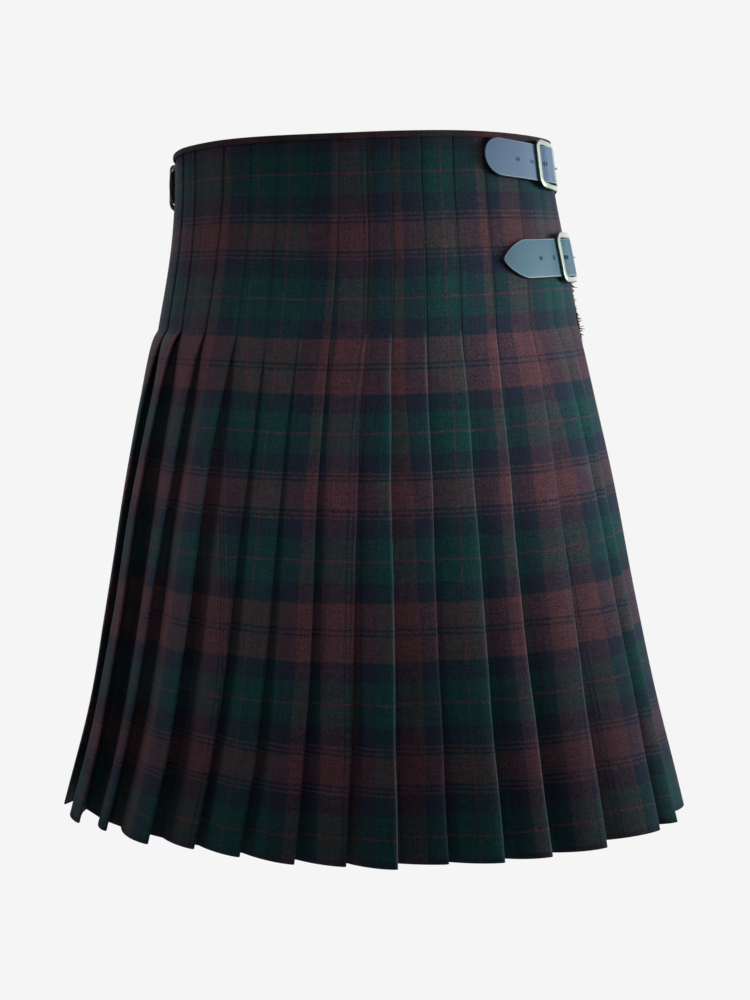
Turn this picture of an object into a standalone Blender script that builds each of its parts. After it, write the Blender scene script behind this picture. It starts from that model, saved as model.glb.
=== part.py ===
"""A man's pleated kilt, filled out as it is worn, with no wearer.

The origin is the centre of the waist opening. +Z is up, -Y is the wearer's front and -X is the
wearer's right. Sizes are in millimetres and become metres when a mesh is made. A place on the
garment is given by an angle round the body (0 at the centre back, +90 at the wearer's right
hip, 180 at the centre front) and by the length of cloth below the waist.
"""

import bpy
import bmesh
import math
from mathutils import Vector

MM = 0.001

# ---------------------------------------------------------------- driving dimensions
CLOTH_LENGTH = 610.0        # waist to hem
FELL = 178.0                # length over which the pleats are stitched flat
WALL = 1.0                  # thickness of the cloth
LAYER_GAP = 0.4             # air between two layers that lie on each other
SEAM_GAP = 0.3              # air between two pieces that are sewn together
TURN_DOWN = 1.3             # the cloth's edge lies this far under the waistband's top
PITCH = WALL + LAYER_GAP    # from one layer's middle to the next
FLAT_LIFT = 3.0             # height of a fold edge where the pleats are stitched flat
TUCK_SHARE = 0.60           # hidden return of a pleat, as a share of what shows
SPRING_ROW = 205.0          # an extra ring just below the fell, where the pleats spring out
FOLD_LEAD = 0.07            # a pleat's face starts to rise this share before its fold inside
FACE_RISE = 0.40            # height of the face over that fold, as a share of the edge's
FACE_SWELL = 0.56           # how soon the face rises on from there to the edge
MID_POWER = 0.6             # a fold edge strays most this soon below the fell
HEM_RISE = 6.0              # height lost by the slant of the cloth at the hem

# The body's form at each length of cloth: half its width, its depths behind and in front of
# the widest line, how far back that line lies, how much higher the hips are than the back,
# how far the form is shifted sideways, how it leans to the wearer's right, and how much higher
# the cloth's rows lie round the left and the right of the back.
SECTION_COLUMNS = (
    "along", "half_width", "back", "front", "set_back", "side_rise", "shift", "lean",
    "left_rise", "right_rise",
)
SECTION_ROWS = (
    (0, 168, 112, 112, 0, 0, 0.0, 0.044, 3.4, -1.5),
    (50, 171, 120, 116, 1, 4, -2.5, 0.041, 5.0, 0.0),
    (105, 178, 132, 120, 3, 9, -5.5, 0.036, 6.0, 0.5),
    (178, 190, 144, 128, 6, 12, -6.5, 0.029, 5.0, 1.5),
    (250, 201, 147, 138, 12, 13, -7.0, 0.022, 4.7, 1.7),
    (337, 213, 149, 150, 19, 14, -8.0, 0.014, 2.5, 2.2),
    (431, 225, 150, 163, 26, 15, -10.0, 0.007, 2.2, 4.0),
    (526, 240, 150, 176, 33, 15, -11.5, 0.002, 4.0, 7.5),
    (610, 258, 149, 188, 40, 13, -11.5, 0.0, 7.5, 7.5),
)
SECTIONS = [dict(zip(SECTION_COLUMNS, row)) for row in SECTION_ROWS]

# Each knife pleat: the angle of its fold edge at the waist, the fell and the hem, how far it
# strays from that line between them, how far it stands off the body at the hem, and how soon
# below the fell it springs out (small is soon).
PLEAT_COLUMNS = ("waist", "fell", "hem", "mid", "hem_lift", "spring")
PLEAT_ROWS = (
    (-88.0, -88.0, -102.0, 0.0, 16, 0.3),
    (-69.5, -68.2, -86.0, 0.0, 18, 0.3),
    (-60.5, -58.5, -65.5, 0.0, 24, 0.3),
    (-45.0, -47.2, -56.5, 0.0, 18, 0.4),
    (-34.5, -36.0, -43.2, 0.0, 24, 0.6),
    (-25.5, -27.2, -34.2, 1.0, 13, 0.8),
    (-16.2, -18.2, -24.5, 0.3, 13, 0.8),
    (-7.0, -9.8, -14.2, -0.3, 16, 0.8),
    (1.8, -0.5, -5.0, -0.9, 13, 0.8),
    (8.0, 5.5, 3.8, -0.5, 19, 0.8),
    (16.8, 14.2, 13.0, -0.2, 9, 0.8),
    (26.8, 23.5, 23.0, 0.3, 15, 0.8),
    (38.0, 33.8, 32.5, -0.2, 15, 0.8),
    (53.0, 46.0, 44.0, 0.9, 24, 0.8),
    (66.0, 57.0, 59.2, 3.0, 26, 0.8),
    (75.5, 65.5, 67.0, 1.5, 26, 0.8),
    (84.5, 74.5, 86.0, 0.0, 18, 0.8),
)
PLEATS = [dict(zip(PLEAT_COLUMNS, row)) for row in PLEAT_ROWS]
PLEAT_SPREAD = 0.75         # how soon below the fell a fold edge swings out
LEFT_SWELL = (0.0, 50.0)    # the rows rise between these angles round the left of the back
RIGHT_SWELL = (25.0, 65.0)
SWELL_FADE = (66.0, 90.0)   # from here the rise falls to half
SWELL_END = (90.0, 130.0)

# Angles of the seams and free edges at the waist, the fell and the hem.
LEFT_SEAM = {"waist": -98.0, "fell": -98.0, "hem": -112.0}
RIGHT_SEAM = {"waist": 95.0, "fell": 93.0, "hem": 104.0}
OUTER_EDGE = {"waist": 91.5, "fell": 90.0, "hem": 100.0}
INNER_EDGE = {"waist": 261.0, "fell": 261.0, "hem": 247.0}
APRON_FRONT = (107.0, 244.0)    # the aprons lie on each other between these angles
APRON_STEPS = 20
FRINGE_REACH = 6.0

BAND_HEIGHT = 6.0
BAND_WALL = 1.0
BAND_STEPS = 90
BAND_END = 89.0             # angle at the back where the band stops at the apron's edge
STACK_EDGES = (95.5, 106.0)  # the pleats' full stack ends between these angles at each hip

STRAP_WIDTH = 35.2
STRAP_WALL = 2.2
STRAP_STEP = 4.0            # between a strap's rings
STRAP_SPANS = 4             # faces across a strap
TIP_SHARES = (0.012, 0.06, 0.15, 0.30, 0.50, 0.75)  # rings round the tip
STRAP_UNDER_LEFT_BAR = 3.3  # height of a strap's middle where it passes each bar
STRAP_UNDER_RIGHT_BAR = 1.6
HOLE_RADIUS = 1.7
HOLE_SIDES = 12
HOLE_COUNT = 3
PRONG_HOLE = 87.1
PRONG_SLOT = 3.8            # half the length of the hole that the prong has drawn long
BAR_HALF_WIDTH = 2.6        # the frame's bars are flattened
BAR_HALF_WALL = 1.15
FRAME_HEIGHT = 46.5
FRAME_CORNER = 6.0
CORNER_STEPS = 4
UPRIGHT = 0.3               # a rod steeper than this is squared off the side, not off the top
CENTRE_BAR_RADIUS = 1.2
PRONG_RADIUS = 0.9
PRONG_WRAP = range(-160, 21, 20)    # angles of the prong's turn round the centre bar
BAR_STRAIGHT = 0.8          # the centre bar's straight middle, as a share of its length

# The prong from its hole in the strap to its tip: how far past the hole, and its height over
# the place where it rests on the frame.
PRONG_COLUMNS = ("ahead", "height")
PRONG_ROWS = (
    (-1.8, -3.3),
    (2.2, -0.6),
    (5.4, -0.1),
    (10.2, 0.0),
)

TAB_WALL = 1.2
TAB_WIDTH = 24.0
TAB_SLOT = 6.0
TAB_START = 44.0            # where the tab's sewn end lies, as a place along a full strap
TAB_SHORTEST = 6.0
TAB_STEPS = 5
TAB_STOP = 3.0              # the flat of the tab stops this far before the centre bar
EAR_ROOT = 5.0              # the ears start this far before it, inside the flat
EAR_INSET = 0.15            # the ears round the bar are this much finer than the tab
LEFT_BAR = 62.0             # places along a strap, from its tip
CENTRE_BAR = 81.0
RIGHT_BAR = 96.0
CENTRE_BAR_HEIGHT = 3.1
BAR_CLEARANCE = 0.6         # between the strap and the frame's outer bars

OFF_BAND_RUN = 30.0         # a strap that leaves the waistband comes down over this length
SLIT_RUN = 9.0              # the left strap's last stretch, where it dips into its slit
SLIT_DEPTH = -1.1           # height of its middle where it ends in the slit
SLIT_CLEARANCE = 0.8
SLIT_INSIDE = -3.0          # the slit's cut starts and ends this far off the cloth's face
SLIT_OUTSIDE = 1.0

# Height of a strap's middle above what it lies on, from its tip to its sewn end.
STRAP_RISE_COLUMNS = ("place", "height")
STRAP_RISE_ROWS = (
    (0, 2.8),
    (30, 2.4),
    (50, 3.2),
    (65, STRAP_UNDER_LEFT_BAR),
    (74, 6.8),
    (81, 8.1),
    (85.5, 6.8),
    (94.5, STRAP_UNDER_RIGHT_BAR),
    (110, 1.4),
    (150, 1.4),
)

# Each strap: the angle of its tip, its middle's length below the waist there, its whole length, the
# length over which the tip narrows, how pointed the tip is, and where it runs off the waistband
# (below zero for a strap that never lies on it).
# "slope" is how fast it runs downhill.
# "side" is 1 on the wearer's right hip, where a strap runs back from the front, and -1 on
# the left. "cut_back" is how much shorter than full the free end is. The punched holes start
# at "first_hole" and lie "hole_pitch" apart.
STRAP_COLUMNS = (
    "name", "tip", "level", "slope", "length", "tip_length", "tip_power", "band_end",
    "side", "cut_back", "first_hole", "hole_pitch",
)
STRAP_ROWS = (
    ("right_upper", 37.1, 21.6, 0.085, 141.0, 17.0, 2.1, 60.0, 1, 4.7, 33.5, 16.2),
    ("right_lower", 38.9, 115.3, 0.0, 136.0, 25.0, 1.45, -60.0, 1, -7.0, 41.7, 18.0),
    ("left", -90.5, 27.5, 0.0, 128.0, 17.0, 2.1, 200.0, -1, 48.0, -9.8, 18.5),
)
STRAPS = [dict(zip(STRAP_COLUMNS, row)) for row in STRAP_ROWS]

TARTAN = ("tartan_cloth", (0.055, 0.065, 0.070, 1.0), 0.85, 0.0)
BAND_CLOTH = ("waistband_cloth", (0.090, 0.070, 0.080, 1.0), 0.85, 0.0)
FRINGE_CLOTH = ("fringe_cloth", (0.045, 0.050, 0.055, 1.0), 0.90, 0.0)
LEATHER = ("strap_leather", (0.100, 0.140, 0.190, 1.0), 0.50, 0.0)
STEEL = ("buckle_steel", (0.78, 0.78, 0.76, 1.0), 0.18, 1.0)


# ---------------------------------------------------------------- the body's form
def mix(first, second, share):
    return first + (second - first) * share


def smooth_step(value, start, end):
    share = min(1.0, max(0.0, (value - start) / (end - start)))
    return share * share * (3.0 - 2.0 * share)


def section_at(along):
    """The form's sizes at a length of cloth below the waist."""
    along = min(max(along, SECTIONS[0]["along"]), SECTIONS[-1]["along"])
    for upper, lower in zip(SECTIONS, SECTIONS[1:]):
        if along <= lower["along"]:
            share = (along - upper["along"]) / (lower["along"] - upper["along"])
            return {key: mix(upper[key], lower[key], share) for key in SECTION_COLUMNS}
    return SECTIONS[-1]


def below_fell(along):
    """0 down to the fell, then rising to 1 at the hem."""
    return max(0.0, (along - FELL) / (CLOTH_LENGTH - FELL))


def angle_at(angles, along):
    """An edge's angle in degrees at a length below the waist."""
    if along <= FELL:
        return mix(angles["waist"], angles["fell"], along / FELL)
    degrees = mix(angles["fell"], angles["hem"], below_fell(along) ** PLEAT_SPREAD)
    return degrees + angles.get("mid", 0.0) * math.sin(math.pi * below_fell(along) ** MID_POWER)


def swell(form, degrees):
    """How much higher a row of the cloth lies at an angle than at the centre back."""
    turned = (degrees + 180.0) % 360.0 - 180.0
    if turned < 0:
        rise = form["left_rise"] * smooth_step(-turned, *LEFT_SWELL)
    else:
        rise = form["right_rise"] * smooth_step(turned, *RIGHT_SWELL)
    fade = 1.0 - 0.5 * smooth_step(abs(turned), *SWELL_FADE)
    return rise * fade * (1.0 - smooth_step(abs(turned), *SWELL_END))


def form_point(degrees, along, out):
    """A point that stands off the body's form by `out`, in millimetres."""
    form = section_at(along)
    sine = math.sin(math.radians(degrees))
    cosine = math.cos(math.radians(degrees))
    depth = form["back"] if cosine > 0 else form["front"]
    side = -form["half_width"] * sine
    back = depth * cosine
    normal = Vector((-depth * sine, form["half_width"] * cosine)).normalized()
    side += out * normal.x
    back += out * normal.y + form["set_back"]
    height = -along + HEM_RISE * (along / CLOTH_LENGTH) ** 2
    height += form["side_rise"] * (1.0 - abs(cosine))
    height += swell(form, degrees)
    height -= form["lean"] * side
    return Vector((side + form["shift"], back, height))


def pleat_lift(pleat, along):
    return mix(FLAT_LIFT, pleat["hem_lift"], below_fell(along) ** pleat["spring"])


def stack_out(degrees):
    """How far the outer face of the stitched cloth stands off the form."""
    turned = abs((degrees + 180.0) % 360.0 - 180.0)
    thick = FLAT_LIFT + WALL / 2
    thin = PITCH + WALL / 2
    return mix(thick, thin, smooth_step(turned, *STACK_EDGES))


# ---------------------------------------------------------------- mesh helpers
def make_material(spec):
    name, colour, roughness, metallic = spec
    material = bpy.data.materials.get(name)
    if material is None:
        material = bpy.data.materials.new(name)
        material.use_nodes = True
        shader = material.node_tree.nodes["Principled BSDF"]
        shader.inputs["Base Color"].default_value = colour
        shader.inputs["Roughness"].default_value = roughness
        shader.inputs["Metallic"].default_value = metallic
        material.diffuse_color = colour
    return material


def make_object(name, points, faces, spec, smooth=False):
    mesh = bpy.data.meshes.new(name)
    mesh.from_pydata([Vector(point) * MM for point in points], [], faces)
    work = bmesh.new()
    work.from_mesh(mesh)
    bmesh.ops.recalc_face_normals(work, faces=work.faces)
    work.to_mesh(mesh)
    work.free()
    for face in mesh.polygons:
        face.use_smooth = smooth
    mesh.materials.append(make_material(spec))
    item = bpy.data.objects.new(name, mesh)
    bpy.context.scene.collection.objects.link(item)
    return item


def loft_faces(rows, ring, closed_ring=True):
    """Quads between rows of `ring` points each."""
    faces = []
    last = ring if closed_ring else ring - 1
    for row in range(rows - 1):
        for column in range(last):
            following = (column + 1) % ring
            start = row * ring
            below = start + ring
            faces.append((start + column, start + following, below + following, below + column))
    return faces


def boolean(item, other, operation):
    """Apply an exact Boolean and remove the other object."""
    modifier = item.modifiers.new(operation.lower(), "BOOLEAN")
    modifier.operation = operation
    modifier.solver = "EXACT"
    modifier.object = other
    evaluated = item.evaluated_get(bpy.context.evaluated_depsgraph_get())
    result = bpy.data.meshes.new_from_object(evaluated)
    item.modifiers.remove(modifier)
    result.name = item.name
    item.data = result
    bpy.data.objects.remove(other)


# ---------------------------------------------------------------- cloth walls
def wall_sides(path):
    """The two faces of a wall whose middle runs along `path`, a list of flat points."""
    left = []
    right = []
    half = WALL / 2
    for index, point in enumerate(path):
        before = path[max(index - 1, 0)]
        after = path[min(index + 1, len(path) - 1)]
        turns = []
        if before != point:
            turns.append((point - before).normalized())
        if after != point:
            turns.append((after - point).normalized())
        normals = [Vector((-turn.y, turn.x)) for turn in turns]
        middle = sum(normals, Vector((0.0, 0.0))).normalized()
        reach = half / max(0.5, middle.dot(normals[0]))
        left.append(point + middle * reach)
        right.append(point - middle * reach)
    return left, right


def cloth_rows(start):
    """Lengths below the waist at which the cloth's rings are made."""
    return sorted([start, SPRING_ROW] + [section["along"] for section in SECTIONS[1:]])


def wall_faces(row_count, angles):
    """Triangles between rings. All split the same way round the body, so layers keep apart."""
    ring = len(angles)
    faces = []
    for row in range(row_count - 1):
        for column in range(ring):
            following = (column + 1) % ring
            here = row * ring + column
            beside = row * ring + following
            if angles[following] > angles[column]:
                faces.append((here, beside, beside + ring))
                faces.append((here, beside + ring, here + ring))
            else:
                faces.append((here, beside, here + ring))
                faces.append((beside, beside + ring, here + ring))
    return faces


def build_wall(name, stations_at, spec):
    """A cloth wall through rings. stations_at gives (degrees, out) pairs for a length."""
    points = []
    angles = []
    rows = cloth_rows(TURN_DOWN)
    for along in rows:
        stations = stations_at(along)
        solid = [form_point(degrees, along, out) for degrees, out in stations]
        left, right = wall_sides([point.to_2d() for point in solid])
        points += [(flat.x, flat.y, place.z) for flat, place in zip(left, solid)]
        back = list(zip(right, solid))
        points += [(flat.x, flat.y, place.z) for flat, place in reversed(back)]
        angles = [degrees for degrees, out in stations]
    faces = wall_faces(len(rows), angles + angles[::-1])
    ring = 2 * len(angles)
    bottom = (len(rows) - 1) * ring
    for column in range(ring // 2 - 1):
        mirror = ring - 1 - column
        faces.append((column, column + 1, mirror - 1, mirror))
        faces.append((bottom + column, bottom + column + 1, bottom + mirror - 1, bottom + mirror))
    return make_object(name, points, faces, spec)


def pleat_stations(along):
    """The folded back at one length, from the left seam to the right one."""
    left_seam = angle_at(LEFT_SEAM, along)
    previous = left_seam
    stations = [(left_seam, PITCH)]
    for number, pleat in enumerate(PLEATS):
        edge = angle_at(pleat, along)
        lift = pleat_lift(pleat, along)
        shown = edge - previous
        fold = edge - TUCK_SHARE * shown
        rise = max(2 * PITCH, FACE_RISE * lift)
        if number > 0:
            stations.append((previous, 0.0))
        stations.append((fold - FOLD_LEAD * shown, rise))
        stations.append((mix(fold, edge, 0.5), mix(rise, lift, FACE_SWELL)))
        stations.append((edge, lift))
        stations.append((edge, lift - PITCH))
        stations.append((mix(fold, edge, 0.5), mix(PITCH, lift - PITCH, 0.5)))
        stations.append((fold, PITCH))
        stations.append((fold, 0.0))
        previous = edge
    stations.append((previous, 0.0))
    stations.append((angle_at(RIGHT_SEAM, along), 0.0))
    return stations


def gap_angle(degrees, along, distance):
    """The angle that `distance` along the cloth covers at a place."""
    near = form_point(degrees, along, 0.0).to_2d()
    far = form_point(degrees + 0.5, along, 0.0).to_2d()
    return 0.5 * distance / (far - near).length


def apron_angles(along):
    """Angles that both aprons share, from the right seam to the inner apron's free edge."""
    start = angle_at(RIGHT_SEAM, along)
    start += gap_angle(start, along, SEAM_GAP)
    end = angle_at(INNER_EDGE, along)
    first, last = APRON_FRONT
    front = [mix(first, last, step / APRON_STEPS) for step in range(APRON_STEPS + 1)]
    return [start, mix(start, first, 0.5)] + front + [mix(last, end, 0.5), end]


def outer_apron_stations(along):
    """The outer apron, from its free edge at the right hip round the front to the left seam."""
    end = 360.0 + angle_at(LEFT_SEAM, along)
    end -= gap_angle(end, along, SEAM_GAP)
    angles = [angle_at(OUTER_EDGE, along)] + apron_angles(along) + [end]
    return [(degrees, PITCH) for degrees in angles]


def inner_apron_stations(along):
    """The inner apron, from the right seam round the front to its free edge at the left."""
    return [(degrees, 0.0) for degrees in apron_angles(along)]


def fringe_stations(along):
    """The frayed threads, as one strip that reaches back from the apron's free edge."""
    edge = angle_at(OUTER_EDGE, along)
    near = edge - gap_angle(edge, along, SEAM_GAP)
    far = edge - gap_angle(edge, along, SEAM_GAP + FRINGE_REACH)
    return [(far, PITCH), (near, PITCH)]


def build_waistband():
    """A binding with a face outside the cloth and a lip over its top edge."""
    inner_out = -WALL / 2 - LAYER_GAP
    start = BAND_END
    end = OUTER_EDGE["waist"] - 360.0
    points = []
    for step in range(BAND_STEPS + 1):
        degrees = mix(start, end, step / BAND_STEPS)
        face = stack_out(degrees) + SEAM_GAP
        outline = (
            (inner_out, 0.0),
            (face + BAND_WALL, 0.0),
            (face + BAND_WALL, BAND_HEIGHT),
            (face, BAND_HEIGHT),
            (face, BAND_WALL),
            (inner_out, BAND_WALL),
        )
        points += [form_point(degrees, along, out) for out, along in outline]
    corners = 6
    faces = loft_faces(BAND_STEPS + 1, corners)
    for base in (0, BAND_STEPS * corners):
        faces.append((base, base + 1, base + 4, base + 5))
        faces.append((base + 1, base + 2, base + 3, base + 4))
    return make_object("waistband", points, faces, BAND_CLOTH)


# ---------------------------------------------------------------- straps and buckles
class StrapSeat:
    """Maps a place along a strap, a height across it and a rise off the cloth to a point."""

    def __init__(self, strap):
        self.strap = strap
        self.angles = []
        degrees = strap["tip"]
        step = 1.0
        place = 0.0
        while place <= strap["length"] + 2.0 * step:
            self.angles.append(degrees)
            degrees += strap["side"] * gap_angle(degrees, strap["level"], step)
            place += step

    def angle(self, place):
        index = min(max(place, 0.0), len(self.angles) - 1.001)
        low = int(index)
        return mix(self.angles[low], self.angles[low + 1], index - low)

    def point(self, place, across, rise):
        degrees = self.angle(place)
        off_band = smooth_step(place, self.strap["band_end"], self.strap["band_end"] + OFF_BAND_RUN)
        out = stack_out(degrees) + rise + (SEAM_GAP + BAND_WALL) * (1.0 - off_band)
        level = self.strap["level"] + self.strap["slope"] * place
        return form_point(degrees, level - across, out)


def strap_rise(strap, place):
    """Height of the strap's middle. A shorter free end starts further along the table."""
    if strap["side"] < 0 and place > strap["length"] - SLIT_RUN:
        share = smooth_step(place, strap["length"] - SLIT_RUN, strap["length"])
        return mix(STRAP_RISE_ROWS[-1][1], SLIT_DEPTH, share)
    full_place = place + strap["cut_back"]
    for (first, low), (second, high) in zip(STRAP_RISE_ROWS, STRAP_RISE_ROWS[1:]):
        if full_place <= second:
            return mix(low, high, smooth_step(full_place, first, second))
    return STRAP_RISE_ROWS[-1][1]


def strap_half_width(strap, place):
    share = min(1.0, place / strap["tip_length"])
    return STRAP_WIDTH / 2 * (1.0 - (1.0 - share) ** strap["tip_power"]) ** (1.0 / strap["tip_power"])


def strap_places(strap):
    """Closer together round the tip, then evenly spaced."""
    tip = strap["tip_length"]
    places = [tip * share for share in TIP_SHARES]
    count = math.ceil((strap["length"] - tip) / STRAP_STEP)
    places += [mix(tip, strap["length"], step / count) for step in range(count + 1)]
    return places


def build_strap(seat):
    strap = seat.strap
    places = strap_places(strap)
    points = []
    for place in places:
        half = strap_half_width(strap, place)
        rise = strap_rise(strap, place)
        spans = [mix(-half, half, step / STRAP_SPANS) for step in range(STRAP_SPANS + 1)]
        points += [seat.point(place, across, rise + STRAP_WALL / 2) for across in spans]
        points += [seat.point(place, across, rise - STRAP_WALL / 2) for across in reversed(spans)]
    ring = 2 * (STRAP_SPANS + 1)
    faces = loft_faces(len(places), ring)
    for base in (0, (len(places) - 1) * ring):
        for column in range(STRAP_SPANS):
            mirror = ring - 1 - column
            faces.append((base + column, base + column + 1, base + mirror - 1, base + mirror))
    item = make_object(strap["name"] + "_strap", points, faces, LEATHER)
    for number in range(HOLE_COUNT):
        cut_hole(item, seat, strap["first_hole"] + number * strap["hole_pitch"], 0.0)
    cut_hole(item, seat, PRONG_HOLE - strap["cut_back"], PRONG_SLOT - HOLE_RADIUS)
    return item


def cut_hole(item, seat, place, stretch):
    """A round hole through the strap, or one drawn long by `stretch` each way."""
    if place < seat.strap["tip_length"] / 2:
        return
    rise = strap_rise(seat.strap, place)
    points = []
    for reach in (-STRAP_WALL, STRAP_WALL):
        for side in range(HOLE_SIDES):
            turn = 2.0 * math.pi * (side + 0.5) / HOLE_SIDES
            shift = HOLE_RADIUS * math.cos(turn)
            shift += math.copysign(stretch, shift)
            across = HOLE_RADIUS * math.sin(turn)
            points.append(seat.point(place + shift, across, rise + reach))
    faces = loft_faces(2, HOLE_SIDES)
    faces.append(tuple(range(HOLE_SIDES)))
    faces.append(tuple(range(HOLE_SIDES, 2 * HOLE_SIDES)))
    cutter = make_object("hole_cutter", points, faces, LEATHER)
    boolean(item, cutter, "DIFFERENCE")


def cut_slit(apron, seat):
    """The slit in the outer apron that the left strap comes out through."""
    start = seat.strap["length"] - SLIT_RUN / 2
    end = seat.strap["length"] + SLIT_CLEARANCE
    half = STRAP_WIDTH / 2 + SLIT_CLEARANCE
    points = []
    for place in (start, end):
        for across, rise in (
            (-half, SLIT_INSIDE),
            (half, SLIT_INSIDE),
            (half, SLIT_OUTSIDE),
            (-half, SLIT_OUTSIDE),
        ):
            points.append(seat.point(place, across, rise))
    faces = loft_faces(2, 4)
    faces += [(0, 1, 2, 3), (4, 5, 6, 7)]
    boolean(apron, make_object("slit_cutter", points, faces, LEATHER), "DIFFERENCE")


def aside_from(ahead, last_aside):
    """A direction square to `ahead` that doesn't flip from one ring to the next."""
    aside = ahead.cross(Vector((0.0, 0.0, 1.0)))
    if aside.length < UPRIGHT:
        aside = ahead.cross(Vector((1.0, 0.0, 0.0)))
    aside.normalize()
    if last_aside is not None and aside.dot(last_aside) < 0:
        aside = -aside
    return aside


def tube(name, centres, radius, spec, closed=False, sides=8, ups=None, wall=None):
    """A rod through the given centres, or a flattened one whose wall runs along `ups`."""
    count = len(centres)
    aside = None
    points = []
    for index, centre in enumerate(centres):
        if closed:
            before = centres[index - 1]
            after = centres[(index + 1) % count]
        else:
            before = centres[max(index - 1, 0)]
            after = centres[min(index + 1, count - 1)]
        ahead = (after - before).normalized()
        if ups is None:
            aside = aside_from(ahead, aside)
            up = ahead.cross(aside) * radius
        else:
            aside = ahead.cross(ups[index]).normalized()
            up = aside.cross(ahead) * wall
        for side in range(sides):
            turn = 2.0 * math.pi * side / sides
            points.append(centre + radius * math.cos(turn) * aside + math.sin(turn) * up)
    faces = loft_faces(count, sides)
    if closed:
        start = (count - 1) * sides
        for side in range(sides):
            following = (side + 1) % sides
            faces.append((start + side, start + following, following, side))
    else:
        faces.append(tuple(range(sides)))
        faces.append(tuple(range((count - 1) * sides, count * sides)))
    return make_object(name, points, faces, spec, smooth=True)


def frame_outline():
    """A rounded rectangle as (place, across) pairs, once round."""
    half = FRAME_HEIGHT / 2 - BAR_HALF_WIDTH
    inner = half - FRAME_CORNER
    outline = []
    corners = (
        (RIGHT_BAR - FRAME_CORNER, inner, 0.0),
        (LEFT_BAR + FRAME_CORNER, inner, 90.0),
        (LEFT_BAR + FRAME_CORNER, -inner, 180.0),
        (RIGHT_BAR - FRAME_CORNER, -inner, 270.0),
    )
    for place, across, start in corners:
        for step in range(CORNER_STEPS + 1):
            turn = math.radians(start + 90.0 * step / CORNER_STEPS)
            spot = (place + FRAME_CORNER * math.cos(turn), across + FRAME_CORNER * math.sin(turn))
            outline.append(spot)
        if start in (0.0, 180.0):
            sign = 1.0 if start == 0.0 else -1.0
            outline.append((CENTRE_BAR, sign * half))
        else:
            bar = LEFT_BAR if start == 90.0 else RIGHT_BAR
            outline.append((bar, 0.0))
    return outline


def bar_rise(place):
    """The frame arches over the strap: higher at the free end's bar than at the other."""
    over_strap = STRAP_WALL / 2 + BAR_CLEARANCE + BAR_HALF_WALL
    left_rise = STRAP_UNDER_LEFT_BAR + over_strap
    right_rise = STRAP_UNDER_RIGHT_BAR + over_strap
    return mix(left_rise, right_rise, (place - LEFT_BAR) / (RIGHT_BAR - LEFT_BAR))


def build_buckle(seat):
    """The frame with its centre bar, and the prong that hangs on the bar."""
    strap = seat.strap
    cut = strap["cut_back"]
    centres = []
    ups = []
    for place, across in frame_outline():
        centre = seat.point(place - cut, across, bar_rise(place))
        centres.append(centre)
        ups.append(seat.point(place - cut, across, bar_rise(place) + 1.0) - centre)
    name = strap["name"] + "_buckle"
    frame = tube(
        name, centres, BAR_HALF_WIDTH, STEEL, closed=True, ups=ups, wall=BAR_HALF_WALL
    )
    half = FRAME_HEIGHT / 2 - BAR_HALF_WIDTH
    raised = bar_rise(CENTRE_BAR) - BAR_HALF_WALL / 2
    low = CENTRE_BAR_HEIGHT
    bend = BAR_STRAIGHT * half
    bar_route = ((-half, raised), (-bend, low), (0.0, low), (bend, low), (half, raised))
    bar = [seat.point(CENTRE_BAR - cut, across, rise) for across, rise in bar_route]
    boolean(frame, tube("centre_bar", bar, CENTRE_BAR_RADIUS, STEEL), "UNION")
    ring = CENTRE_BAR_RADIUS + SEAM_GAP + PRONG_RADIUS
    route = []
    for turn in PRONG_WRAP:
        place = CENTRE_BAR + ring * math.cos(math.radians(turn))
        rise = CENTRE_BAR_HEIGHT + ring * math.sin(math.radians(turn))
        route.append((place, rise))
    rest = bar_rise(RIGHT_BAR) + BAR_HALF_WALL + SEAM_GAP + PRONG_RADIUS
    route += [(PRONG_HOLE + ahead, rest + height) for ahead, height in PRONG_ROWS]
    centres = [seat.point(place - cut, 0.0, rise) for place, rise in route]
    tube(strap["name"] + "_prong", centres, PRONG_RADIUS, STEEL)


def build_tab(seat):
    """The leather tab that is sewn to the hip under the strap and holds the centre bar."""
    strap = seat.strap
    cut = strap["cut_back"]
    low = SEAM_GAP + TAB_WALL / 2
    ring = CENTRE_BAR_RADIUS + SEAM_GAP + TAB_WALL / 2
    start = max(TAB_START, cut + TAB_SHORTEST)
    stop = CENTRE_BAR - TAB_STOP
    flat = [(mix(start, stop, step / TAB_STEPS), low) for step in range(TAB_STEPS + 1)]
    loop = []
    for turn in range(-90, 181, 30):
        place = CENTRE_BAR + ring * math.cos(math.radians(turn))
        rise = CENTRE_BAR_HEIGHT + ring * math.sin(math.radians(turn))
        loop.append((place, rise))
    half = TAB_WIDTH / 2
    slot = TAB_SLOT / 2
    tab = bent_strip(strap["name"] + "_tab", seat, cut, flat, (-half, half), TAB_WALL)
    root = [(CENTRE_BAR - EAR_ROOT, low)]
    for edges in ((EAR_INSET - half, -slot), (slot, half - EAR_INSET)):
        ear = bent_strip("ear", seat, cut, root + loop, edges, TAB_WALL - EAR_INSET)
        boolean(tab, ear, "UNION")


def bent_strip(name, seat, cut, route, edges, wall):
    """A strip of leather whose edge follows `route`, (place, rise) pairs."""
    thick = wall / 2
    low_edge, high_edge = edges
    points = []
    for index, (place, rise) in enumerate(route):
        before = Vector(route[max(index - 1, 0)])
        after = Vector(route[min(index + 1, len(route) - 1)])
        ahead = (after - before).normalized()
        aside = Vector((-ahead.y, ahead.x)) * thick
        for across in (low_edge, high_edge):
            points.append(seat.point(place + aside.x - cut, across, rise + aside.y))
        for across in (high_edge, low_edge):
            points.append(seat.point(place - aside.x - cut, across, rise - aside.y))
    faces = loft_faces(len(route), 4)
    end = (len(route) - 1) * 4
    faces.append((0, 1, 2, 3))
    faces.append((end, end + 1, end + 2, end + 3))
    return make_object(name, points, faces, LEATHER)


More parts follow.
